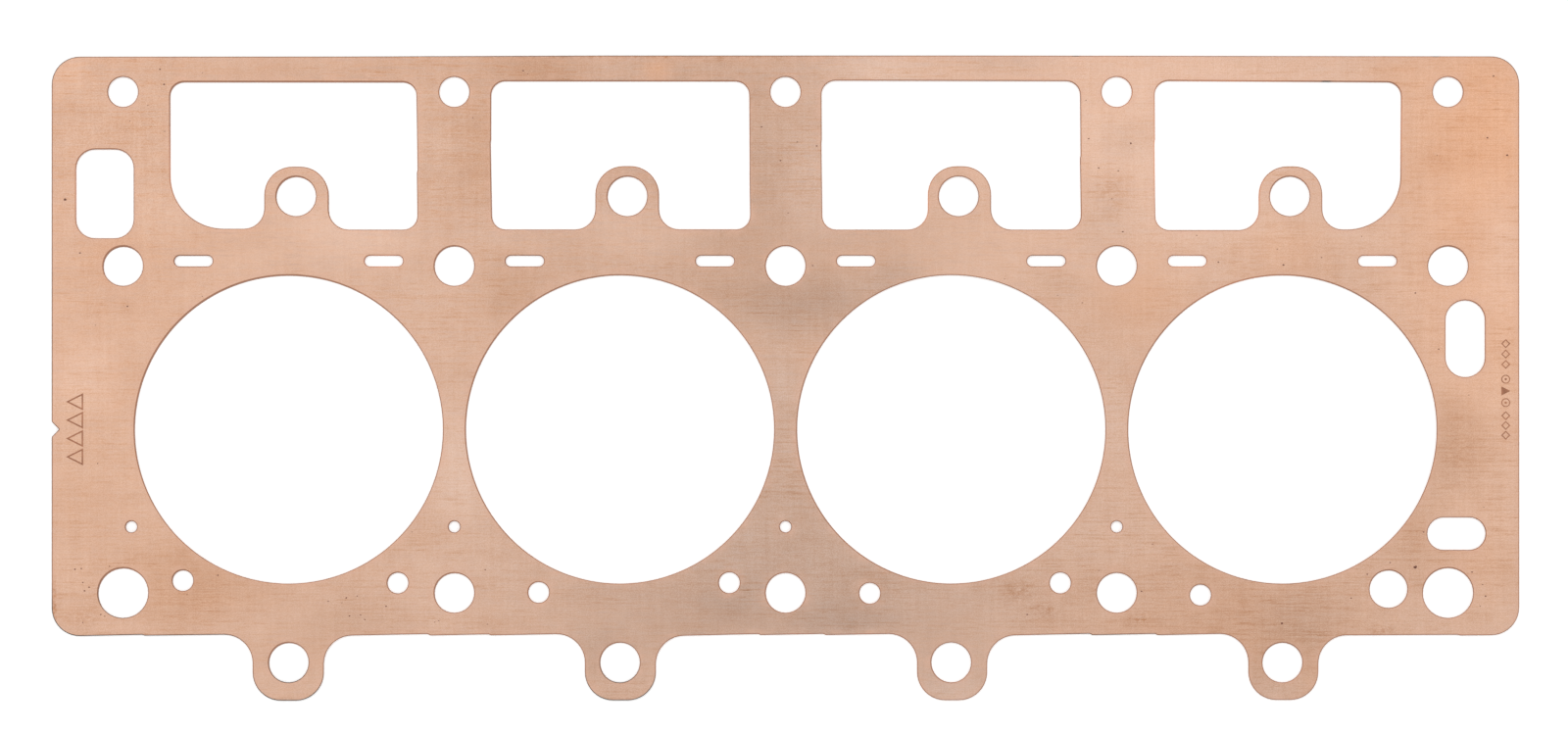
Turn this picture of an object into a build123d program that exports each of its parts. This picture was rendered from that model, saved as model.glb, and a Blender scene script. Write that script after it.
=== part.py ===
from build123d import *
import os

# Cylinder head gasket for one bank of four cylinders, punched from one sheet of copper.
# Millimetres. The sheet lies flat: Z = 0 is the face against the block, and the head goes on top.
# X runs along the line of bores and Y across it. The origin is on that line, midway along it.

# Cylinders
cylinders = 4
bore_diameter = 104.14
bore_land = 7.62  # metal left between two neighbouring bores

# Sheet
sheet_thickness = 1.27
end_margin = 24.03  # from the last bolt centre to the end of the sheet
top_land = 8.3  # above the windows
bottom_margin = 14.35  # from the lower bolts to the lower edge
sheet_corner_radius = 9.8

# Head bolts, in one row on each side of the bores
bolt_diameter = 13.5
dowel_diameter = 17.0  # the last bolt at each end of the lower row sits in a ring dowel
bolt_row_gap = 3.08  # from the bores' upper and lower limits to the bolt centres

# Studs outside the head bolts, one above and one below each bore
stud_diameter = 13.5
stud_row_gap = 26.58  # from the bores' limits to the stud centres
upper_stud_shift = 2.5  # the upper ones stand a little to the right of their bores

# Valley bolts along the top edge
valley_diameter = 10.2
valley_margin = 12.25  # from their centres to the top edge

# Ears around the lower studs
ear_width = 24.26
ear_reach = 12.9  # from the stud centre to the ear's foot
ear_foot_radius = 9.5
ear_root_radius = 9.6

# Windows for the ports, each with a tab for an upper stud
window_gap = 15.28  # from the bores' upper limit to the windows
window_height = 50.45
window_web_width = 24.5  # upright webs between the windows
outer_web_width = 15.9  # from the last bolt centre to the end window
window_corner_radius = 4.75
window_end_flat = 1.43  # between the last tab and the wide lower corner of the end window
tab_width = 21.9
tab_reach = 10.15  # from the stud centre to the tab's top
tab_top_radius = 9.5
tab_root_radius = 6.9

# Steam slots, a pair above each bore
steam_length = 13.0
steam_width = 3.7
steam_gap = 4.73  # from the bore's upper limit to the slots' centre line
steam_offset = 32.1  # to each side of the bore

# Water holes below the bores, one on each side of every bore, listed from the first bore to the last.
# Angles are round the bore's centre, and gaps are from the bore's wall to the hole's centre.
water_diameter = 7.1
drain_diameter = 12.8  # the last one on the right
water_left_angles = [235.0, 243.5, 243.6, 243.7]
water_left_gaps = [10.2, 9.4, 9.7, 10.3]
water_right_angles = [305.4, 305.5, 305.4, 303.6]
water_right_gaps = [11.5, 11.5, 11.5, 12.6]

# Small vents between the bores, and one beyond the first bore
vent_diameter = 3.9
vent_inset = 19.2  # from the bores' lower limit up to the vents
first_vent_shift = 2.8  # from the last bolts' line

# Passages at the two ends. Each shift is outwards from the last bolt's line,
# and each gap is from the nearest row of head bolts to the passage's centre.
oil_port_width = 19.5
oil_port_height = 30.1
oil_port_corner_radius = 6.5
oil_port_shift = 6.13
oil_port_gap = 24.35
side_slot_width = 13.3
side_slot_height = 26.0
side_slot_shift = 5.83
side_slot_gap = 24.55
lower_slot_length = 19.7
lower_slot_width = 11.0
lower_slot_shift = 2.88
lower_slot_gap = 19.95

# Notch in the left end, which marks the way the sheet goes in
notch_depth = 2.5

# Places that follow from the sizes above
bore_radius = bore_diameter / 2
pitch = bore_diameter + bore_land
bore_columns = [(i - (cylinders - 1) / 2) * pitch for i in range(cylinders)]
bolt_columns = [(i - cylinders / 2) * pitch for i in range(cylinders + 1)]
last_bolt = bolt_columns[-1]
half_length = last_bolt + end_margin
bolt_row = bore_radius + bolt_row_gap
stud_row = bore_radius + stud_row_gap
window_bottom = bore_radius + window_gap
window_top = window_bottom + window_height
window_end = last_bolt - outer_web_width
last_tab_side = bore_columns[-1] + upper_stud_shift + tab_width / 2
window_end_radius = window_end - last_tab_side - tab_root_radius - window_end_flat
top_edge = window_top + top_land
bottom_edge = -bolt_row - bottom_margin
valley_row = top_edge - valley_margin


def block(left, right, bottom, top):
    """A rectangle from its four sides."""
    return Pos((left + right) / 2, (bottom + top) / 2) * Rectangle(right - left, top - bottom)


def rounded(shape, corners, radius):
    """The shape with its corners at these points rounded."""
    points = [Vector(x, y, 0) for x, y in corners]
    found = [v for v in shape.vertices() if any((v.center() - p).length < 0.001 for p in points)]
    return fillet(found, radius)


def round_holes(diameter, points):
    """One round hole at each point."""
    return Sketch() + [Pos(x, y) * Circle(diameter / 2) for x, y in points]


def sheet_outline():
    """The sheet's outer edge, with an ear round each lower stud."""
    shape = block(-half_length, half_length, bottom_edge, top_edge)
    foot = -stud_row - ear_reach
    half = ear_width / 2
    for x in bore_columns:
        shape += block(x - half, x + half, foot, 0)
    sides = [x + side for x in bore_columns for side in (-half, half)]
    ends = [(x, y) for x in (-half_length, half_length) for y in (bottom_edge, top_edge)]
    shape = rounded(shape, ends, sheet_corner_radius)
    shape = rounded(shape, [(x, foot) for x in sides], ear_foot_radius)
    return rounded(shape, [(x, bottom_edge) for x in sides], ear_root_radius)


def window(number):
    """The window above one bore. A tab stands in it, and the two end windows have one wide corner."""
    first, last = number == 0, number == cylinders - 1
    left = -window_end if first else bolt_columns[number] + window_web_width / 2
    right = window_end if last else bolt_columns[number + 1] - window_web_width / 2
    tab_x = bore_columns[number] + upper_stud_shift
    tab_left, tab_right = tab_x - tab_width / 2, tab_x + tab_width / 2
    tab_top = stud_row + tab_reach
    shape = block(left, right, window_bottom, window_top)
    shape -= block(tab_left, tab_right, 0, tab_top)
    lower = {left: window_end_radius if first else window_corner_radius,
             right: window_end_radius if last else window_corner_radius}
    shape = rounded(shape, [(left, window_top), (right, window_top)], window_corner_radius)
    for x, radius in lower.items():
        shape = rounded(shape, [(x, window_bottom)], radius)
    shape = rounded(shape, [(tab_left, tab_top), (tab_right, tab_top)], tab_top_radius)
    roots = [(tab_left, window_bottom), (tab_right, window_bottom)]
    return rounded(shape, roots, tab_root_radius)


def bolt_holes():
    """All the holes for bolts and studs."""
    upper = [(x, bolt_row) for x in bolt_columns]
    lower = [(x, -bolt_row) for x in bolt_columns[1:-1]]
    dowels = [(x, -bolt_row) for x in (-last_bolt, last_bolt)]
    studs = [(x + upper_stud_shift, stud_row) for x in bore_columns]
    studs += [(x, -stud_row) for x in bore_columns]
    return (
        round_holes(bolt_diameter, upper + lower)
        + round_holes(dowel_diameter, dowels)
        + round_holes(stud_diameter, studs)
        + round_holes(valley_diameter, [(x, valley_row) for x in bolt_columns])
    )


def fluid_holes():
    """Steam slots, water holes, vents and the passages at the two ends."""
    steam_row = bore_radius + steam_gap
    steam = [(x + side, steam_row) for x in bore_columns for side in (-steam_offset, steam_offset)]
    holes = Sketch() + [Pos(x, y) * SlotOverall(steam_length, steam_width) for x, y in steam]
    left_holes = zip(bore_columns, water_left_angles, water_left_gaps)
    right_holes = zip(bore_columns, water_right_angles, water_right_gaps)
    for x, angle, gap in [*left_holes, *right_holes]:
        drain = x == bore_columns[-1] and angle == water_right_angles[-1]
        diameter = drain_diameter if drain else water_diameter
        place = Pos(x, 0) * Rot(0, 0, angle) * Pos(bore_radius + gap, 0)
        holes += place * Circle(diameter / 2)
    vent_row = vent_inset - bore_radius
    vents = [(x, vent_row) for x in [first_vent_shift - last_bolt] + bolt_columns[1:-1]]
    holes += round_holes(vent_diameter, vents)
    port = RectangleRounded(oil_port_width, oil_port_height, oil_port_corner_radius)
    holes += Pos(-last_bolt - oil_port_shift, bolt_row + oil_port_gap) * port
    side_slot = SlotOverall(side_slot_height, side_slot_width, rotation=90)
    holes += Pos(last_bolt + side_slot_shift, bolt_row - side_slot_gap) * side_slot
    lower_slot = SlotOverall(lower_slot_length, lower_slot_width)
    return holes + Pos(last_bolt + lower_slot_shift, lower_slot_gap - bolt_row) * lower_slot


def notch():
    """A right-angled cut whose point lies inside the left end."""
    side = notch_depth * 2**0.5
    return Pos(-half_length, 0) * Rot(0, 0, 45) * Rectangle(side, side)


flat = sheet_outline() - round_holes(bore_diameter, [(x, 0) for x in bore_columns])
for number in range(cylinders):
    flat -= window(number)
flat = flat - bolt_holes() - fluid_holes() - notch()
gasket_sheet = extrude(flat, amount=sheet_thickness)

os.makedirs("parts", exist_ok=True)
export_step(gasket_sheet, "parts/gasket_sheet.step")
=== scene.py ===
# The cylinder head gasket, dressed: one punched copper sheet on a pale floor, seen from above.
import math
import random

import bpy
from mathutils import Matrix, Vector, geometry, kdtree


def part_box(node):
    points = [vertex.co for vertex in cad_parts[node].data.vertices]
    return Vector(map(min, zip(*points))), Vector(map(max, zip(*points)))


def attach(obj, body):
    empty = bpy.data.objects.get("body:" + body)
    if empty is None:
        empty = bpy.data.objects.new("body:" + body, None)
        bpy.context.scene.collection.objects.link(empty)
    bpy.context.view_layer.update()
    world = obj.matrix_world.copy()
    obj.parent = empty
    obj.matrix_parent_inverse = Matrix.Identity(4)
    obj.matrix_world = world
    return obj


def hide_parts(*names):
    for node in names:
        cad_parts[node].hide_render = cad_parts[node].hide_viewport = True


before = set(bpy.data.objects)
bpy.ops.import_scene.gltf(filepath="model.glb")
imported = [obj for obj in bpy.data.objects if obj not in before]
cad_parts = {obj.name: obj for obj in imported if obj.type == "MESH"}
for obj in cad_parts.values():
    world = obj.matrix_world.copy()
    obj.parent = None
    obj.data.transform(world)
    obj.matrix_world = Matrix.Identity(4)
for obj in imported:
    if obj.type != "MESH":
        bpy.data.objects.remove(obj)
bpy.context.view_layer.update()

MM = 0.001

# Sizes, as in the CAD model (mm). Its origin is midway along the line of bores, on the
# underside. The outermost ones come from the frame.
lowest, highest = ([round(c / MM, 2) for c in corner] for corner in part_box("gasket_sheet"))
HALF_LENGTH, TOP_EDGE, THICKNESS = highest
EAR_FOOT = lowest[1]
PITCH = 111.76
BORES = [(i - 1.5) * PITCH for i in range(4)]
BOLTS = [(i - 2) * PITCH for i in range(5)]  # the head bolts' columns
BORE_RADIUS = 52.07
BOTTOM_EDGE = -69.5
SHEET_CORNER = 9.4  # 9.8 in the CAD model
BOLT_ROW = 55.15
BOLT_RADIUS = 6.75
DOWEL_RADIUS = 8.5
STUD_ROW = 78.65
STUD_RADIUS = 6.75
STUD_SHIFT = 2.5  # how far the upper studs and their tabs stand to the right of their bores
VALLEY_ROW = 113.85
VALLEY_RADIUS = 5.1
EAR_HALF = 12.13
EAR_FOOT_RADIUS = 9.5
EAR_ROOT_RADIUS = 9.6
WINDOW_BOTTOM = 67.35
WINDOW_TOP = 117.8
WINDOW_END = 207.62  # the outer sides of the two end windows
WINDOW_WEB = 12.25  # from a column of bolts to the windows beside it
WINDOW_CORNER = 4.75
WINDOW_END_CORNER = 18.2
TAB_HALF = 10.95
TAB_TOP = 88.8
TAB_TOP_RADIUS = 9.5
TAB_ROOT_RADIUS = 6.9
WATER = [  # angle round the bore and gap from its wall, left and right of each bore
    ((235.0, 10.2), (305.4, 11.5)),
    ((243.5, 9.4), (305.5, 11.5)),
    ((243.6, 9.7), (305.4, 11.5)),
    ((243.7, 10.3), (303.6, 12.6)),
]
WATER_RADIUS = 3.55
DRAIN_RADIUS = 6.4  # the last water hole on the right
VENT_ROW = -32.87
VENTS = [-220.72] + BOLTS[1:-1]
VENT_RADIUS = 1.95
STEAM_ROW = 56.8
STEAM_OFFSET = 32.1
STEAM_SLOT = (13.0, 3.7, 1.85)  # width, height, corner radius
OIL_PORT = (-229.65, 79.5, 19.5, 30.1, 6.5)  # x, y, width, height, corner radius
SIDE_SLOT = (229.35, 30.6, 13.3, 26.0, 6.65)
LOWER_SLOT = (226.4, -35.2, 19.7, 11.0, 5.5)
NOTCH = 2.5
NOTCH_CORNER = 0.6
NOTCH_TIP = 0.3

# How finely outlines are drawn
ARC_STEP = 1.5  # longest step along an arc
ARC_TURN = 0.2  # widest turn in one step, in radians
STRAIGHT_STEP = 4.0
FEWEST = 32  # steps in a small circle
SHORTEST = 0.001  # straight left between the two arcs of a slot's end
SHARPEST = 0.3  # keeps a sharp corner from running away when an outline is shifted


def rounded(corners):
    """Points round an outline from its corners (x, y, radius), listed anticlockwise."""
    points = []
    for i, (x, y, radius) in enumerate(corners):
        here = Vector((x, y))
        back = (Vector(corners[i - 1][:2]) - here).normalized()
        ahead = (Vector(corners[(i + 1) % len(corners)][:2]) - here).normalized()
        if not radius:
            points.append(here)
            continue
        half = back.angle(ahead) / 2
        centre = here + (back + ahead).normalized() * radius / math.sin(half)
        reach = radius / math.tan(half)
        first, last = here + back * reach - centre, here + ahead * reach - centre
        start = math.atan2(first.y, first.x)
        sweep = math.atan2(last.y, last.x) - start
        sweep = (sweep + math.pi) % (2 * math.pi) - math.pi
        steps = max(math.ceil(abs(sweep) * radius / ARC_STEP), math.ceil(abs(sweep) / ARC_TURN))
        for k in range(steps + 1):
            a = start + sweep * k / steps
            points.append(centre + radius * Vector((math.cos(a), math.sin(a))))
    return divided(points)


def divided(points):
    """The same outline with its long straight runs cut into shorter ones."""
    result = []
    for i, here in enumerate(points):
        ahead = points[(i + 1) % len(points)]
        steps = math.ceil((ahead - here).length / STRAIGHT_STEP)
        result += [here.lerp(ahead, k / steps) for k in range(steps)]
    return result


def circle(x, y, radius, fewest=FEWEST):
    """Points round a circle, anticlockwise."""
    steps = max(fewest, math.ceil(2 * math.pi * radius / ARC_STEP))
    turns = [2 * math.pi * k / steps for k in range(steps)]
    return [Vector((x + radius * math.cos(a), y + radius * math.sin(a))) for a in turns]


def box(x, y, width, height, radius):
    """A rectangle with round corners, or a slot where the radius is half its width."""
    w, h = width / 2, height / 2
    radius = min(radius, w - SHORTEST, h - SHORTEST)
    return rounded([(x - w, y - h, radius), (x + w, y - h, radius),
                    (x + w, y + h, radius), (x - w, y + h, radius)])


def shifted(loop, distance):
    """The loop moved to its left by a distance."""
    result = []
    for i, here in enumerate(loop):
        back = (here - loop[i - 1]).normalized()
        ahead = (loop[(i + 1) % len(loop)] - here).normalized()
        side = Vector((-back.y - ahead.y, back.x + ahead.x)).normalized()
        reach = distance / max(SHARPEST, side.dot(Vector((-ahead.y, ahead.x))))
        result.append(here + side * reach)
    return result


# The edges were nibbled by a punch that stood a little askew: each stroke rises slightly and the
# next steps back. A step is two soft corners.
STEP_RUN = 0.9
STEP_RADIUS = 1.0
# Where the lower edge steps in each bay between the ears, and how far up each stroke stands at
# its left and right end
STEPS = [(-216.6,), (-120.3, -99.8), (-8.8, 13.2), (103.1, 125.2), (227.2,)]
STROKES = [
    ((-0.45, 0.2), (-0.1, 0.35)),
    ((-0.25, 0.45), (-0.05, 0.35), (0.0, 0.6)),
    ((-0.35, 0.45), (0.1, 0.5), (0.1, 0.65)),
    ((-0.2, 0.55), (0.05, 0.5), (0.05, 0.7)),
    ((-0.05, 0.2), (-0.05, 0.15)),
]
# How far each ear's left side, right side and foot stand from their nominal places
EARS = [(0.0, -0.25, 0.0), (0.35, 0.0, 0.1), (0.65, 0.0, 0.15), (0.65, 0.0, 0.25)]
# The top edge sinks towards both ends: x and height between its corners, then at each corner
TOP_ARCH = [(150.0, -0.15), (60.0, 0.0), (-60.0, 0.0), (-150.0, -0.35)]
TOP_LEFT = -0.4
TOP_RIGHT = -0.3


def ear(number):
    """Corners round one ear, from left to right."""
    to_left, to_right, to_foot = EARS[number]
    left, right = BORES[number] - EAR_HALF + to_left, BORES[number] + EAR_HALF + to_right
    foot = EAR_FOOT + to_foot
    return [(left, BOTTOM_EDGE + STROKES[number][-1][1], EAR_ROOT_RADIUS),
            (left, foot, EAR_FOOT_RADIUS),
            (right, foot, EAR_FOOT_RADIUS),
            (right, BOTTOM_EDGE + STROKES[number + 1][0][0], EAR_ROOT_RADIUS)]


def outer_edge():
    """The sheet's own outline, from its lower left corner."""
    corners = [(-HALF_LENGTH, BOTTOM_EDGE + STROKES[0][0][0], SHEET_CORNER)]
    for i, (places, heights) in enumerate(zip(STEPS, STROKES)):
        for x, before, after in zip(places, heights, heights[1:]):
            corners += [(x - STEP_RUN / 2, BOTTOM_EDGE + before[1], STEP_RADIUS),
                        (x + STEP_RUN / 2, BOTTOM_EDGE + after[0], STEP_RADIUS)]
        if i < len(BORES):
            corners += ear(i)
    corners += [(HALF_LENGTH, BOTTOM_EDGE + STROKES[-1][-1][1], SHEET_CORNER),
                (HALF_LENGTH, TOP_EDGE + TOP_RIGHT, SHEET_CORNER)]
    corners += [(x, TOP_EDGE + height, 0) for x, height in TOP_ARCH]
    corners += [(-HALF_LENGTH, TOP_EDGE + TOP_LEFT, SHEET_CORNER),
                (-HALF_LENGTH, NOTCH, NOTCH_CORNER),
                (-HALF_LENGTH + NOTCH, 0, NOTCH_TIP),
                (-HALF_LENGTH, -NOTCH, NOTCH_CORNER)]
    return rounded(corners)


# How far the edges of each window stand from their nominal places. An upright side has four of
# these, at its top, just above its step, just below it and at its bottom, and the step's height.
LEFT_SIDES = [(-0.1, 0.0, 0.0, 0.0, 0), (0.15, 0.1, -0.05, 0.5, 97.3),
              (-0.15, 0.0, -0.15, 0.2, 97.3), (0.5, 0.65, 0.45, 0.8, 97.3)]
RIGHT_SIDES = [(-0.55, -0.1, -0.35, -0.1, 87.0), (0.0, 0.2, 0.15, 0.4, 87.0),
               (-0.1, 0.1, -0.1, 0.25, 92.0), (0.15, 0.0, 0.0, -0.15, 0)]
TOPS = [(-0.45, -0.5), (-0.25, -0.3), (-0.1, -0.3), (-0.1, -0.6)]  # left and right end
BOTTOMS = [(0.3, 0.0), (0.05, 0.1), (0.0, 0.0), (-0.15, 0.05)]  # left and right of the tab
TABS = [  # left side, right side and top
    (0.25, 0.0, -0.2), (0.2, -0.3, 0.0), (0.65, 0.0, -0.05), (0.55, 0.0, -0.1),
]


def window(number):
    """The window above one bore, with the tab that stands in it."""
    first, last = number == 0, number == len(BORES) - 1
    left = -WINDOW_END if first else BOLTS[number] + WINDOW_WEB
    right = WINDOW_END if last else BOLTS[number + 1] - WINDOW_WEB
    l_top, l_above, l_below, l_low, l_step = LEFT_SIDES[number]
    r_top, r_above, r_below, r_low, r_step = RIGHT_SIDES[number]
    low_left, low_right = (WINDOW_BOTTOM + move for move in BOTTOMS[number])
    tab = BORES[number] + STUD_SHIFT
    tab_left = tab - TAB_HALF + TABS[number][0]
    tab_right = tab + TAB_HALF + TABS[number][1]
    tab_top = TAB_TOP + TABS[number][2]
    corners = [(left + l_low, low_left, WINDOW_END_CORNER if first else WINDOW_CORNER),
               (tab_left, low_left, TAB_ROOT_RADIUS),
               (tab_left, tab_top, TAB_TOP_RADIUS),
               (tab_right, tab_top, TAB_TOP_RADIUS),
               (tab_right, low_right, TAB_ROOT_RADIUS),
               (right + r_low, low_right, WINDOW_END_CORNER if last else WINDOW_CORNER)]
    if r_step:
        corners += [(right + r_below, r_step - STEP_RUN / 2, STEP_RADIUS),
                    (right + r_above, r_step + STEP_RUN / 2, STEP_RADIUS)]
    corners += [(right + r_top, WINDOW_TOP + TOPS[number][1], WINDOW_CORNER),
                (left + l_top, WINDOW_TOP + TOPS[number][0], WINDOW_CORNER)]
    if l_step:
        corners += [(left + l_above, l_step + STEP_RUN / 2, STEP_RADIUS),
                    (left + l_below, l_step - STEP_RUN / 2, STEP_RADIUS)]
    return rounded(corners)


# The punch stood askew, so a hole's foot isn't right below its rim.
LEAN_RIGHT = 0.16
LEAN_DOWN = 0.0016  # for each millimetre from the place where it stood straight that way
STRAIGHT_AT = 45.0
WINDOW_LEAN_RIGHT = (0.1, 0.08, 0.0, -0.03)
# Smaller leans of some holes: how far to the right, and what share of the lean down
WATER_LEAN = (0.1, 0.6)
VENT_LEAN = (0.05, 0.3)
STEAM_LEAN = (0.05, 0.25)
OIL_PORT_LEAN = (0.0, 0.35)
SIDE_SLOT_LEAN = (0.05, 0.5)
UPRIGHT = (0.0, 0.0)
UNDERCUT = 0.25  # how far the foot of the outer edge lies inside its rim


def punched(loop, right=LEAN_RIGHT, down=1.0):
    """A hole's outline, anticlockwise, and how far its foot lies from its rim."""
    middle = sum(loop, Vector((0, 0))) / len(loop)
    return loop, Vector((right, -down * LEAN_DOWN * abs(middle.x - STRAIGHT_AT)))


def bolt_holes():
    """The bores and the holes for head bolts, dowels and studs."""
    found = [(x, 0, BORE_RADIUS) for x in BORES]
    found += [(x, BOLT_ROW, BOLT_RADIUS) for x in BOLTS]
    found += [(x, -BOLT_ROW, BOLT_RADIUS) for x in BOLTS[1:-1]]
    found += [(x, -BOLT_ROW, DOWEL_RADIUS) for x in (BOLTS[0], BOLTS[-1])]
    found += [(x + STUD_SHIFT, STUD_ROW, STUD_RADIUS) for x in BORES]
    found += [(x, -STUD_ROW, STUD_RADIUS) for x in BORES]
    return [punched(circle(*hole)) for hole in found]


def water_holes():
    """Two holes below each bore, the last of them a wide drain, and the small vents."""
    found = []
    for i, x in enumerate(BORES):
        for side, (angle, gap) in enumerate(WATER[i]):
            a, reach = math.radians(angle), BORE_RADIUS + gap
            place = (x + reach * math.cos(a), reach * math.sin(a))
            if side == 1 and i == len(BORES) - 1:
                found.append(punched(circle(*place, DRAIN_RADIUS)))
            else:
                found.append(punched(circle(*place, WATER_RADIUS), *WATER_LEAN))
    return found + [punched(circle(x, VENT_ROW, VENT_RADIUS), *VENT_LEAN) for x in VENTS]


def openings():
    """The windows, valley bolt holes and steam slots, and the passages at the two ends."""
    found = [punched(window(i), WINDOW_LEAN_RIGHT[i]) for i in range(len(BORES))]
    found += [punched(circle(x, VALLEY_ROW, VALLEY_RADIUS), *UPRIGHT) for x in BOLTS]
    found += [punched(box(x + side, STEAM_ROW, *STEAM_SLOT), *STEAM_LEAN)
              for x in BORES for side in (-STEAM_OFFSET, STEAM_OFFSET)]
    found.append(punched(box(*OIL_PORT), *OIL_PORT_LEAN))
    found.append(punched(box(*SIDE_SLOT), *SIDE_SLOT_LEAN))
    found.append(punched(box(*LOWER_SLOT), *UPRIGHT))
    return found


# Etched marks, generic ones. By the notch, outlined triangles that point towards that end
TRIANGLE = ((-242.2, 0.0), (-237.2, -2.5), (-237.2, 2.5))
TRIANGLES = 4
TRIANGLE_TOP = 9.3
TRIANGLE_STEP = 6.2
TRIANGLE_LINE = 0.5
# By the right end, a column of small shapes, each kind with its heights
MARK_COLUMN = 243.0
MARK_LINE = 0.34
DIAMONDS = (28.9, 25.4, 21.9, 4.6, 1.3, -2.0)
DIAMOND_SIZE = 2.6
RINGS = (16.9, 9.0)
RING_RADIUS = 1.5
RING_STEPS = 28
DOT_RADIUS = 0.4
DOT_STEPS = 12
ARROW = ((-1.5, 11.4), (1.6, 12.95), (-1.5, 14.5))  # filled, x from the column


def diamond(x, y, size, line):
    """An outlined diamond: its outline and the island inside it."""
    reach = line / 2 * math.sqrt(2)
    corners = ((1, 0), (0, 1), (-1, 0), (0, -1))
    outer, inner = ([Vector((x + a * r, y + b * r)) for a, b in corners]
                    for r in (size / 2 + reach, size / 2 - reach))
    return outer, inner


def marks():
    """Outlines of the etched marks, anticlockwise, and of the islands left inside them."""
    sunk, islands = [], []
    for k in range(TRIANGLES):
        up = Vector((0, TRIANGLE_TOP - k * TRIANGLE_STEP))
        shape = [Vector(corner) + up for corner in TRIANGLE]
        sunk.append(shifted(shape, -TRIANGLE_LINE / 2))
        islands.append(shifted(shape, TRIANGLE_LINE / 2))
    for y in DIAMONDS:
        outer, inner = diamond(MARK_COLUMN, y, DIAMOND_SIZE, MARK_LINE)
        sunk.append(outer)
        islands.append(inner)
    for y in RINGS:
        sunk.append(circle(MARK_COLUMN, y, RING_RADIUS, RING_STEPS))
        islands.append(circle(MARK_COLUMN, y, RING_RADIUS - MARK_LINE, RING_STEPS))
        sunk.append(circle(MARK_COLUMN, y, DOT_RADIUS, DOT_STEPS))
    sunk.append([Vector((MARK_COLUMN + right, y)) for right, y in ARROW])
    return sunk, islands


# The sheet's mesh. Its faces have one of these finishes, in the order of its materials.
SHEET, CUT, ETCHED, PITTED = range(4)
ROLL_WIDTH = 0.28  # of the rounded rim along each cut
ROLL_DEPTH = 0.2
ROLL_STEPS = 4
MARK_DEPTH = 0.04
MARK_SLOPE = 0.07  # width of their sloping sides
TOO_CLOSE = 1e-7  # points nearer than this are one point

roll = [(ROLL_WIDTH * (1 - math.cos(a)), THICKNESS - ROLL_DEPTH * (1 - math.sin(a)))
        for a in [math.pi / 2 * k / ROLL_STEPS for k in range(ROLL_STEPS + 1)]]
# Each ring round an edge: how far into the metal, how high, and the finish of the band up to it
PROFILE = [(0.26, 0.0, SHEET), (0.1, 0.0, SHEET), (0.03, 0.03, CUT), (0.0, 0.12, CUT)]
PROFILE += [(inset, z, CUT) for inset, z in roll] + [(0.5, THICKNESS, SHEET)]

verts, faces, finishes, smooth, edge_wear = [], [], [], [], []


def ring(points, z, wear=1.0):
    """Adds a ring of vertices and gives their numbers."""
    start = len(verts)
    verts.extend((p.x, p.y, z) for p in points)
    edge_wear.extend([wear] * len(points))
    return list(range(start, len(verts)))


def band(low, high, finish):
    """A band of faces between two rings, with the metal to the left of their direction."""
    for i in range(len(low)):
        j = (i + 1) % len(low)
        faces.append((low[i], low[j], high[j], high[i]))
        finishes.append(finish)
        smooth.append(True)


def fill(rings, inner_points, z, finish, flip=False):
    """Flat triangles to the left of the rings, with more vertices at the inner points."""
    numbers = [n for r in rings for n in r]
    flat = [Vector(verts[n][:2]) for n in numbers] + inner_points
    edges, start = [], 0
    for r in rings:
        edges += [(start + i, start + (i + 1) % len(r)) for i in range(len(r))]
        start += len(r)
    directed = set(edges)
    _, _, triangles, origins, _, _ = geometry.delaunay_2d_cdt(flat, edges, [], 0, TOO_CLOSE)
    source = [o[0] for o in origins]
    triangles = [tuple(source[i] for i in t) for t in triangles]
    beside = {}
    for k, t in enumerate(triangles):
        for a, b in zip(t, t[1:] + t[:1]):
            beside[(a, b)] = k
    # From the triangles on the rings' left, all that can be reached without crossing a ring
    kept = {beside[e] for e in directed if e in beside}
    queue = list(kept)
    while queue:
        t = triangles[queue.pop()]
        for a, b in zip(t, t[1:] + t[:1]):
            other = beside.get((b, a))
            if (a, b) not in directed and other is not None and other not in kept:
                kept.add(other)
                queue.append(other)
    known = dict(enumerate(numbers))
    for k in sorted(kept):
        face = []
        for i in triangles[k]:
            if i not in known:
                known[i] = len(verts)
                verts.append((flat[i].x, flat[i].y, z))
                edge_wear.append(wear_at(flat[i]))
            face.append(known[i])
        faces.append(tuple(reversed(face)) if flip else tuple(face))
        finishes.append(finish)
        smooth.append(False)


def wall(loop, lean, undercut):
    """Rings and bands up one edge, from the sheet's underside over the roll to its top face."""
    rows = []
    for inset, z, _ in PROFILE:
        below = max(0.0, 1 - z / (THICKNESS - ROLL_DEPTH))
        place = shifted(loop, inset + undercut * below)
        rows.append(ring([p + lean * below for p in place], z))
    for low, high, (_, _, finish) in zip(rows, rows[1:], PROFILE[1:]):
        band(low, high, finish)
    return rows


cuts = [(outer_edge(), Vector((0, 0)), UNDERCUT)]
cuts += [(hole[::-1], lean, 0.0) for hole, lean in bolt_holes() + water_holes() + openings()]
loops = [loop for loop, _, _ in cuts]
walls = [wall(*cut) for cut in cuts]

# Finds the edge point nearest to a place
boundary = kdtree.KDTree(sum(len(loop) for loop in loops))
for n, p in enumerate(p for loop in loops for p in loop):
    boundary.insert((p.x, p.y, 0), n)
boundary.balance()
WEAR_REACH = 3.0  # how far from an edge the copper has worn


def wear_at(point):
    """One at an edge, falling to nothing further in."""
    return max(0.0, 1 - boundary.find((point.x, point.y, 0))[2] / WEAR_REACH)


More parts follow.
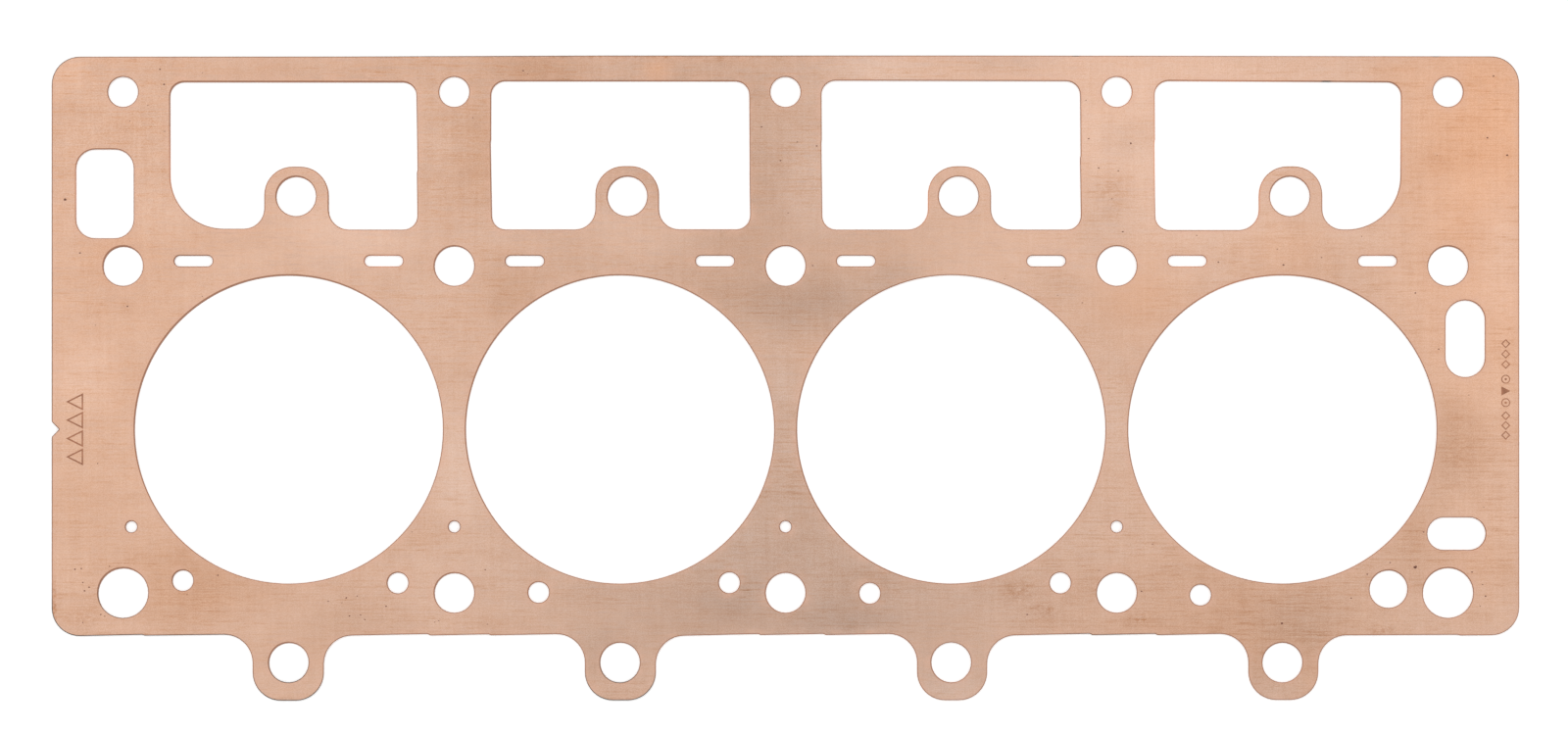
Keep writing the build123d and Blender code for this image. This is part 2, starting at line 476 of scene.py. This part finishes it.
# More vertices inside the faces, on a loose grid, and how far they stay from what is there
TOP_GRID = 2.4
TOP_GAP = 1.1
BACK_GRID = 6.0
BACK_GAP = 2.0
MARK_GAP = 0.8
LOOSE = 0.3  # how far a point strays, as a share of the grid's step
GRID_SEED = 5


def grid(step, gap, keep_off=()):
    """Points inside the sheet's box, none near an edge or near the other points."""
    draws = random.Random(GRID_SEED)
    near = kdtree.KDTree(max(1, len(keep_off)))
    for n, p in enumerate(keep_off):
        near.insert((p.x, p.y, 0), n)
    near.balance()
    points = []
    for i in range(int(2 * HALF_LENGTH / step)):
        for j in range(int((TOP_EDGE - EAR_FOOT) / step)):
            x = -HALF_LENGTH + (i + 0.5 + LOOSE * draws.uniform(-1, 1)) * step
            y = EAR_FOOT + (j + 0.5 + LOOSE * draws.uniform(-1, 1)) * step
            if boundary.find((x, y, 0))[2] < gap:
                continue
            if keep_off and near.find((x, y, 0))[2] < MARK_GAP:
                continue
            points.append(Vector((x, y)))
    return points


# Small dark pits in the top face: the largest ones have places, the others are scattered
PITS = [  # x, y, radius
    (-243.0, 77.5, 0.5), (212.5, -46.5, 0.6), (167.5, -65.5, 0.42), (116.5, 96.5, 0.38),
    (168.0, 55.5, 0.34), (204.0, -45.0, 0.3), (243.5, 92.5, 0.36), (212.5, 46.0, 0.34),
    (-88.5, 121.0, 0.32), (81.5, -62.5, 0.34), (-238.0, 59.5, 0.32), (-222.0, 41.5, 0.3),
]
SCATTERED = [  # x, y, width and height of an area, and how many pits are tried in it
    (0, 30, 480, 180, 90), (-234, -56, 20, 22, 14), (-150, -60, 110, 14, 14),
    (-205, 105, 70, 36, 14), (0, 90, 30, 50, 4), (215, -45, 50, 40, 10), (165, 60, 60, 12, 6),
    (112, 90, 20, 40, 4),
]
SCATTERED_RADII = (0.17, 0.34)
PIT_DEPTH = 0.07
PIT_GAP = 1.2  # to an edge or another pit
PIT_CORNERS = 9
RAGGED = (0.7, 1.2)  # the least and most of its radius that a corner stands out
FLATTENED = 0.8  # its height as a share of its width
PIT_FLOOR = 0.4  # the floor's width as a share of the rim's
PIT_SEED = 11
# The etched marks lie further out than this, between these heights
MARKS_BEYOND = 233
MARKS_BETWEEN = (-15, 34)


def in_metal(point):
    """Whether a point is in the sheet: a line to its right crosses an odd number of edges."""
    crossings = 0
    for loop in loops:
        for a, b in zip(loop, loop[1:] + loop[:1]):
            if (a.y > point.y) != (b.y > point.y):
                crossings += point.x < a.x + (b.x - a.x) * (point.y - a.y) / (b.y - a.y)
    return crossings % 2 == 1


def in_marks(point):
    """Whether a point is in the area of the etched marks."""
    return abs(point.x) > MARKS_BEYOND and MARKS_BETWEEN[0] < point.y < MARKS_BETWEEN[1]


def scattered_pits(draws, taken):
    """Pits at random places, clear of edges, of the etched marks and of each other."""
    found = []
    for x, y, width, height, count in SCATTERED:
        for _ in range(count):
            right, up = draws.uniform(-0.5, 0.5), draws.uniform(-0.5, 0.5)
            place = Vector((x + width * right, y + height * up))
            radius = draws.uniform(*SCATTERED_RADII)
            near_edge = boundary.find((place.x, place.y, 0))[2] < PIT_GAP
            crowded = any((place - Vector(p[:2])).length < PIT_GAP for p in taken + found)
            if in_metal(place) and not (in_marks(place) or near_edge or crowded):
                found.append((place.x, place.y, radius))
    return found


def pit(x, y, radius, draws):
    """A ragged pit with a small floor. It gives the ring of its rim."""
    middle = Vector((x, y))
    turns = [2 * math.pi * k / PIT_CORNERS for k in range(PIT_CORNERS)]
    rim = [middle + radius * draws.uniform(*RAGGED) * Vector((math.cos(a), FLATTENED * math.sin(a)))
           for a in turns]
    rim.reverse()  # the metal is outside, to the left
    top = ring(rim, THICKNESS, 0.0)
    low = ring([middle.lerp(p, PIT_FLOOR) for p in rim], THICKNESS - PIT_DEPTH, 0.0)
    band(low, top, PITTED)
    fill([low[::-1]], [], THICKNESS - PIT_DEPTH, PITTED)
    return top


def etched_marks():
    """The marks' slopes and their common floor. It gives the rings of their rims."""
    sunk, islands = marks()
    rims, floors = [], []
    for loop in [shape[::-1] for shape in sunk] + islands:
        top = ring(loop, THICKNESS, 0.0)
        low = ring(shifted(loop, -MARK_SLOPE), THICKNESS - MARK_DEPTH, 0.0)
        band(low, top, ETCHED)
        rims.append(top)
        floors.append(low[::-1])
    fill(floors, [], THICKNESS - MARK_DEPTH, ETCHED)
    return rims


rims = etched_marks()
pit_draws = random.Random(PIT_SEED)
for place in PITS + scattered_pits(pit_draws, PITS):
    rims.append(pit(*place, pit_draws))
rim_points = [Vector(verts[n][:2]) for rim in rims for n in rim]
fill([rows[-1] for rows in walls] + rims, grid(TOP_GRID, TOP_GAP, rim_points), THICKNESS, SHEET)
fill([rows[0] for rows in walls], grid(BACK_GRID, BACK_GAP), 0.0, SHEET, flip=True)


def placed(name, data):
    """A new object in the scene."""
    made = bpy.data.objects.new(name, data)
    bpy.context.scene.collection.objects.link(made)
    return made


mesh = bpy.data.meshes.new("gasket")
mesh.from_pydata([(x * MM, y * MM, z * MM) for x, y, z in verts], [], faces)
mesh.polygons.foreach_set("material_index", finishes)
mesh.polygons.foreach_set("use_smooth", smooth)
mesh.attributes.new("edge_wear", "FLOAT", "POINT").data.foreach_set("value", edge_wear)
gasket = placed("gasket", mesh)


# Materials
def srgb(*levels):
    """A colour from its 0 to 255 levels."""
    return tuple((v / 255 / 12.92 if v <= 10 else ((v / 255 + 0.055) / 1.055) ** 2.4)
                 for v in levels) + (1.0,)


class Shader:
    """A material or world that is put together from nodes."""

    def __init__(self, owner):
        owner.use_nodes = True
        self.tree = owner.node_tree
        self.tree.nodes.clear()

    def node(self, kind, inputs=(), out=0, **settings):
        """A new node, with its inputs linked or set. It gives one of its outputs."""
        made = self.tree.nodes.new("ShaderNode" + kind)
        for name, value in settings.items():
            setattr(made, name, value)
        for name, value in dict(inputs).items():
            if isinstance(value, bpy.types.NodeSocket):
                self.tree.links.new(value, made.inputs[name])
            else:
                made.inputs[name].default_value = value
        return made.outputs[out] if made.outputs else None

    def math(self, operation, *values, clamp=False):
        """One step of arithmetic."""
        return self.node("Math", enumerate(values), operation=operation, use_clamp=clamp)

    def sum(self, *values):
        """All the values added up."""
        total = values[0]
        for value in values[1:]:
            total = self.math("ADD", total, value)
        return total

    def vary(self, mean, much, value, clamp=False):
        """A mean, plus so much of a value."""
        return self.math("MULTIPLY_ADD", value, much, mean, clamp=clamp)

    def tinted(self, colour, red, green, blue):
        """The colour with its red, green and blue multiplied."""
        levels = self.node("CombineXYZ", {"X": red, "Y": green, "Z": blue})
        return self.node("VectorMath", {0: colour, 1: levels}, operation="MULTIPLY")

    def place_in_mm(self):
        """Where a point is in millimetres, with its height four times as large."""
        where = self.node("TexCoord", out="Object")
        return self.node("VectorMath", {0: where, 1: (1000, 1000, 4000)}, operation="MULTIPLY")

    def noise(self, place, scale, shift=(0, 0, 0), detail=2.0, roughness=0.5, gain=1.0):
        """Noise about zero, with its own scale along each axis."""
        moved = self.node("Mapping", {"Vector": place, "Location": shift, "Scale": scale})
        value = self.node("TexNoise", {"Vector": moved, "Scale": 1.0, "Detail": detail,
                                       "Roughness": roughness})
        return self.math("MULTIPLY_ADD", value, 2 * gain, -gain)

    def blob(self, place, x, y, across, up, strength):
        """A soft oval that fades out at its reach across and up."""
        moved = self.node("VectorMath", {0: place, 1: (-x, -y, 0)}, operation="ADD")
        scaled = self.node("VectorMath", {0: moved, 1: (1 / across, 1 / up, 0)},
                           operation="MULTIPLY")
        length = self.node("VectorMath", {0: scaled}, out="Value", operation="LENGTH")
        return self.node("MapRange", {"Value": length, "From Min": 0.0, "From Max": 1.0,
                                      "To Min": strength, "To Max": 0.0},
                         interpolation_type="SMOOTHSTEP")

    def metal(self, colour, metallic, roughness, height, relief, depth):
        """The material's surface, a metal with a fine relief of a depth in metres."""
        bump = self.node("Bump", {"Strength": relief, "Distance": depth, "Height": height})
        shade = self.node("BsdfPrincipled", {"Base Color": colour, "Metallic": metallic,
                                             "Roughness": roughness, "Normal": bump})
        self.node("OutputMaterial", {"Surface": shade})


COPPER = srgb(194, 160, 139)
WORN_COPPER = srgb(198, 160, 140)
# Partly painted shade: the cut walls and rims are darkened as if in shade
CUT_COPPER_AND_PAINTED_SHADE = srgb(158, 113, 89)
ETCHED_COPPER = srgb(158, 108, 82)
PITTED_COPPER = srgb(120, 80, 66)

# Layers of the sheet's finish: the noise's scale along x, y and z, its shift, detail, roughness
# and gain
LAYERS = {
    "patches": ((0.03, 0.04, 0.03), (7, 3, 0), 1.0, 0.5, 2.0),
    "long_lines": ((0.03, 1.9, 0.3), (0, 0, 0), 2.0, 0.6, 1.0),
    "short_lines": ((0.22, 2.1, 0.3), (31, 9, 0), 2.0, 0.5, 1.0),
    "broad": ((0.012, 0.1, 0.1), (3, 17, 0), 2.0, 0.5, 1.0),
    "uprights": ((1.1, 0.04, 0.3), (5, 5, 0), 2.0, 0.5, 1.0),
    "mottle": ((0.16, 0.2, 0.2), (11, 2, 0), 3.0, 0.6, 1.0),
    "clouds": ((0.045, 0.06, 0.05), (23, 6, 0), 1.0, 0.5, 1.0),
    "grain": ((2.6, 3.2, 2.0), (0, 4, 0), 2.0, 0.6, 1.0),
    "blush": ((0.4, 0.55, 0.3), (41, 3, 0), 3.0, 0.65, 1.0),
    "speckle": ((0.7, 0.9, 0.5), (13, 9, 0), 3.0, 0.7, 1.0),
}
# How much each layer adds to the rolled lines, to the rest of the finish and to the redness
LINES = {"long_lines": 0.36, "short_lines": 0.37}
REST = {"broad": 0.07, "uprights": 0.065, "mottle": 0.08, "grain": 0.38, "clouds": 0.07}
REDNESS = {"mottle": 0.03, "blush": 0.07}
DEPTHS = (0.69, 1.09, 1.45)  # how much the finish changes the red, green and blue

# Soft ovals are placed by their middle and by how far they reach across and up from it.
# Changes of tone over the sheet; the broad ones are painted light, both ends lighter and the middle
# darker as the lights and their reflections fell. x, y, reach across and up, how much lighter, how
# much redder
TONES_AND_PAINTED_LIGHT = [
    (-240, 20, 110, 200, 0.05, 0.08), (-150, 110, 100, 60, -0.05, 0.04),
    (0, -50, 140, 90, -0.19, -0.07), (-20, 90, 110, 90, -0.17, 0.01),
    (120, 105, 110, 90, 0.14, -0.04), (240, 60, 60, 130, 0.16, 0.15),
    (150, -75, 90, 55, -0.09, 0.14), (235, 110, 60, 60, 0.04, 0.13),
    # Small ones
    (30, 122, 26, 18, 0.12, -0.14), (-85, 123, 26, 16, -0.1, 0.15), (10, 85, 18, 26, 0.11, -0.12),
    (-145, 68, 34, 20, 0.12, -0.1), (-50, 68, 32, 20, 0.13, -0.06), (-92, 46, 20, 18, -0.11, 0.12),
    (10, 42, 55, 18, -0.17, -0.03), (-110, -12, 18, 28, 0.1, -0.15), (224, -5, 22, 26, -0.14, 0.09),
    (-200, -52, 40, 22, -0.1, 0.16), (-145, -66, 28, 16, -0.1, 0.07), (-237, 18, 20, 20, 0.1, -0.1),
    (55, -90, 22, 20, 0.03, -0.16), (160, -92, 24, 20, -0.03, -0.17), (121, 46, 26, 24, 0.0, 0.15),
    (170, 60, 28, 18, 0.0, 0.13), (242, 62, 16, 32, 0.02, -0.13), (212, -34, 18, 20, -0.08, 0.12),
    (-43, 121, 9, 8, 0.08, 0.16), (108, 71, 18, 22, -0.09, 0.0), (174, -66, 24, 20, -0.09, -0.01),
    (-102, 93, 16, 26, -0.06, 0.13), (20, -66, 28, 14, -0.09, -0.02), (226, 88, 34, 40, -0.03, 0.02),
    (-63, -75, 18, 14, -0.09, 0.0), (91, 49, 16, 12, -0.09, 0.05), (75, 125, 24, 9, -0.09, -0.02),
    (-19, -57, 16, 14, -0.08, 0.02), (204, 118, 14, 10, -0.04, 0.1), (-2, 13, 14, 36, -0.03, -0.09),
    (109, 4, 12, 24, 0.03, -0.1), (234, -46, 24, 34, 0.04, 0.08), (-225, 60, 20, 13, -0.03, 0.1),
    (37, 52, 15, 10, -0.09, -0.04), (115, 97, 16, 12, -0.08, 0.0), (-243, 121, 14, 12, 0.08, 0.0),
]
# Where the finish is stronger or calmer: x, y, reach across and up, how much stronger
FINISH = [
    (-230, 98, 56, 56, 0.35), (-112, 92, 30, 50, 0.2), (236, 104, 40, 40, 0.15),
    (-30, -66, 110, 24, -0.3), (-165, 62, 70, 16, -0.35), (-56, 64, 70, 14, -0.25),
    (56, 62, 70, 16, -0.4), (0, 50, 40, 34, -0.25), (112, 48, 24, 20, -0.3),
    (-168, -74, 34, 30, -0.3), (-56, -76, 30, 26, -0.1), (56, -74, 34, 30, -0.4),
]
# Dark smudges in the top face, and painted shade along its rim: x, y, reach across and up, how much
# lighter
SMUDGES_AND_PAINTED_RIM_SHADE = [
    (79, -54.5, 10, 5, -0.13), (87, -61, 8, 4.5, -0.13), (120, -64, 10, 5, -0.1),
    (-222, 41.5, 4, 4, -0.07), (110, 79, 9, 12, -0.08), (201.5, -68, 7, 3.5, -0.14),
    (228, -5, 10, 20, -0.06), (-238, -64, 9, 6, -0.08),
    # Along the rim: painted shade, a dark line where the edge was in shade
    (-168, -91.3, 15, 1.4, -0.12), (-56, -91.3, 15, 1.4, -0.14), (-225, -69.2, 24, 1.4, -0.08),
    (-246.8, -60, 1.4, 16, -0.25), (-60, 125.8, 190, 1.2, -0.12),
]


def shares(s, layers, strengths):
    """Each of the named layers times its strength."""
    return [s.math("MULTIPLY", layers[name], strength) for name, strength in strengths.items()]


def rolled_finish(s, place, layers):
    """The rolled lines, and the whole finish with its mottle, grain, smudges and painted shade along
    the rim, about zero.
    """
    # The lines are strong in some patches and weak in others
    patches = s.vary(0.8, 0.35, layers["patches"], clamp=True)
    lines = s.math("MULTIPLY", s.sum(*shares(s, layers, LINES)), patches)
    strength = 1.0
    for spot in FINISH:
        strength = s.math("ADD", strength, s.blob(place, *spot))
    finish = s.math("MULTIPLY", s.sum(lines, *shares(s, layers, REST)), strength)
    # Smudges and the painted shade along the rim are broken up into specks
    speckle = s.vary(1.0, 4.0, layers["speckle"])
    for spot in SMUDGES_AND_PAINTED_RIM_SHADE:
        finish = s.vary(finish, speckle, s.blob(place, *spot))
    return lines, finish


def tones_and_painted_light(s, place, layers):
    """How light the copper is, about one, and how red it is, about zero. Its broad changes are
    painted light: lighter ends and a darker middle.
    """
    tone = 1.0
    redness = s.sum(*shares(s, layers, REDNESS))
    for *spot, lighter, redder in TONES_AND_PAINTED_LIGHT:
        shape = s.blob(place, *spot, 1.0)
        tone = s.vary(tone, lighter, shape)
        redness = s.vary(redness, redder, shape)
    return tone, redness


def copper_sheet():
    """The rolled top face and underside, a little paler where edges have worn."""
    material = bpy.data.materials.new("copper_sheet")
    s = Shader(material)
    place = s.place_in_mm()
    layers = {name: s.noise(place, *values) for name, values in LAYERS.items()}
    lines, finish = rolled_finish(s, place, layers)
    # Tone over the sheet, partly painted light
    tone, redness = tones_and_painted_light(s, place, layers)
    green, blue = s.vary(1.0, -0.5, redness), s.vary(1.0, -1.0, redness)
    colour = s.tinted(COPPER[:3], 1.0, green, blue)
    # The dark parts of the finish are browner and the light ones paler
    colour = s.tinted(colour, *[s.vary(tone, depth, finish) for depth in DEPTHS])
    wear = s.node("Attribute", out="Fac", attribute_name="edge_wear")
    worn = s.math("MULTIPLY", wear, s.vary(0.25, 0.8, layers["mottle"], clamp=True))
    # A colour mix has its factor and two colours at inputs 0, 6 and 7, and the result at output 2
    colour = s.node("Mix", {0: worn, 6: colour, 7: WORN_COPPER}, out=2, data_type="RGBA")
    roughness = s.vary(0.52, 0.8, lines)
    height = s.sum(lines, s.math("MULTIPLY", layers["grain"], 0.05))
    s.metal(colour, 1.0, roughness, height, relief=0.25, depth=0.00002)
    return material


# Painted light and shade on the cut edge, lighter where its walls and rim were lit and darker where
# they were in shade, and darker nicks: x, y, reach across and up, how much lighter
EDGE_PAINTED_LIGHT_SHADE_AND_NICKS = [
    # Outer edges, darker: painted shade; a few hole edges, lighter: painted light
    (-248, 30, 9, 160, -0.35), (-236, -67, 30, 20, -0.4), (-205, -70, 40, 6, -0.5),
    (-168, -92, 26, 18, -0.8), (-56, -92, 28, 18, -0.8), (60, 128, 420, 4, -0.25),
    (-100, 127, 230, 5, -0.4), (110, -70, 30, 5, -0.4), (112, 114, 9, 9, 0.5), (224, 114, 9, 9, 0.3),
    (150, 50, 40, 14, 0.3),
    (-248, -68, 16, 16, -0.7), (-248, 126, 16, 16, -0.5), (248, 126, 16, 16, -0.3),
    # Sides of holes, painted light
    (124, 92, 7, 34, 0.8), (-208, 86, 6, 24, 0.4), (208, 100, 6, 24, 0.4), (150, 118, 34, 4, 0.4),
    (159, 78, 6, 14, 0.6), (47, 78, 6, 14, 0.6), (-240, 80, 6, 18, 0.45), (229, 31, 12, 20, 0.35),
    (-135.5, 57, 10, 6, 0.6), (199.7, 57, 10, 6, 0.5), (135.5, 57, 10, 6, 0.4),
    # Nicks
    (182.5, 117.6, 2.4, 1.6, -1.2), (98, 126, 1.6, 1.6, -0.8), (219.5, 125.5, 2, 1.6, -0.6),
]
DARKEST_EDGE = 0.35
EDGE_DEPTHS = (1.12, 1.0, 0.9)  # how much the tone changes the red, green and blue


def cut_edge():
    """The sheared wall, darker, with upright drag lines from the punch. Its darker colour is partly
    painted shade, and its lighter and darker patches are painted light and shade.
    """
    material = bpy.data.materials.new("cut_edge")
    s = Shader(material)
    place = s.place_in_mm()
    drag = s.noise(place, (3.0, 3.0, 0.05), (2, 8, 0), 3.0, 0.6)
    bands = s.noise(place, (0.1, 0.1, 0.8), (4, 4, 0), 2.0)
    tone = s.sum(s.math("MULTIPLY", drag, 0.35), s.math("MULTIPLY", bands, 0.2), 1.0)
    # Painted light and shade on the walls, and the nicks
    for spot in EDGE_PAINTED_LIGHT_SHADE_AND_NICKS:
        tone = s.math("ADD", tone, s.blob(place, *spot))
    tone = s.math("MAXIMUM", tone, DARKEST_EDGE)
    # Its dark parts are greyer too
    colour = s.tinted(CUT_COPPER_AND_PAINTED_SHADE[:3], *[s.vary(1 - depth, depth, tone) for depth in EDGE_DEPTHS])
    roughness = s.vary(0.5, 0.15, drag)
    s.metal(colour, 1.0, roughness, drag, relief=0.4, depth=0.00003)
    return material


def dark_copper(name, colour, rough):
    """Etched or pitted copper, matt and brown."""
    material = bpy.data.materials.new(name)
    s = Shader(material)
    place = s.place_in_mm()
    uneven = s.noise(place, (0.5, 0.5, 0.5), (1, 1, 0), 3.0, 0.6)
    fine = s.noise(place, (4.0, 4.0, 1.0), (6, 2, 0), 2.0)
    tone = s.sum(s.math("MULTIPLY", uneven, 0.5), s.math("MULTIPLY", fine, 0.3), 1.0)
    colour = s.node("VectorMath", {0: colour[:3], "Scale": tone}, operation="SCALE")
    roughness = s.vary(rough, 0.1, fine)
    s.metal(colour, 0.6, roughness, fine, relief=0.5, depth=0.00003)
    return material


for material in (copper_sheet(), cut_edge(), dark_copper("etched_mark", ETCHED_COPPER, 0.6),
                 dark_copper("pit", PITTED_COPPER, 0.7)):
    mesh.materials.append(material)
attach(gasket, "root")
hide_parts("gasket_sheet")

# Floor and light, in metres
FLOOR_REACH = 30.0
FLOOR_DROP = 0.00002  # keeps the floor just clear of the sheet's underside
WHITE = (1.0, 1.0, 1.0, 1.0)
PAPER = (0.95, 0.95, 0.95, 1.0)
PAPER_LIFT = 0.28  # glow that makes the lit paper white for the camera
SKY = 0.8  # strength of the soft light from all round


def white_for_eyes(s, ordinary, white):
    """One shader for the light that falls, another for what the camera, gloss and glass see."""
    path = [s.node("LightPath", out=name) for name in
            ("Is Camera Ray", "Is Glossy Ray", "Is Transmission Ray")]
    seen = s.math("ADD", s.math("ADD", path[0], path[1]), path[2], clamp=True)
    return s.node("MixShader", {0: seen, 1: ordinary, 2: white})


def paper_floor():
    """A wide sheet of white paper that keeps the gasket's shadow."""
    sides = [(-1, -1), (1, -1), (1, 1), (-1, 1)]
    corners = [(x * FLOOR_REACH, y * FLOOR_REACH, -FLOOR_DROP) for x, y in sides]
    floor_mesh = bpy.data.meshes.new("floor")
    floor_mesh.from_pydata(corners, [], [(0, 1, 2, 3)])
    paper = bpy.data.materials.new("paper")
    s = Shader(paper)
    diffuse = s.node("BsdfDiffuse", {"Color": PAPER})
    lift = s.node("Emission", {"Color": WHITE, "Strength": PAPER_LIFT})
    lifted = s.node("AddShader", {0: diffuse, 1: lift})
    s.node("OutputMaterial", {"Surface": white_for_eyes(s, diffuse, lifted)})
    floor_mesh.materials.append(paper)
    return placed("floor", floor_mesh)


def studio():
    """A world of soft light that the camera and gloss see as plain white."""
    world = bpy.data.worlds.new("studio")
    s = Shader(world)
    soft = s.node("Background", {"Color": WHITE, "Strength": SKY})
    white = s.node("Background", {"Color": WHITE, "Strength": 1.0})
    s.node("OutputWorld", {"Surface": white_for_eyes(s, soft, white)})
    return world


def lamp(name, towards, energy, spread):
    """A distant lamp that stands in a direction and is so many degrees wide."""
    data = bpy.data.lights.new(name, "SUN")
    data.energy = energy
    data.angle = math.radians(spread)
    placed(name, data).rotation_euler = Vector(towards).to_track_quat("Z", "Y").to_euler()


floor = paper_floor()
bpy.context.scene.world = studio()
lamp("key", (-0.17, 0.36, 0.92), 0.5, 14)
lamp("fill", (0.42, 0.08, 0.9), 0.22, 80)

# The camera looks straight down from far away (mm)
VIEW_WIDTH = 529.0  # what the picture spans at the sheet's top face
VIEW_CENTRE = (-0.5, 21.03)
DISTANCE = 2000.0
SENSOR = 36.0

camera_data = bpy.data.cameras.new("camera")
camera_data.sensor_width = SENSOR
camera_data.lens = SENSOR * DISTANCE / VIEW_WIDTH
camera_data.clip_end = 100
camera = placed("camera", camera_data)
camera.location = (VIEW_CENTRE[0] * MM, VIEW_CENTRE[1] * MM, (DISTANCE + THICKNESS) * MM)
bpy.context.scene.camera = camera
bpy.context.scene.view_settings.view_transform = "Standard"
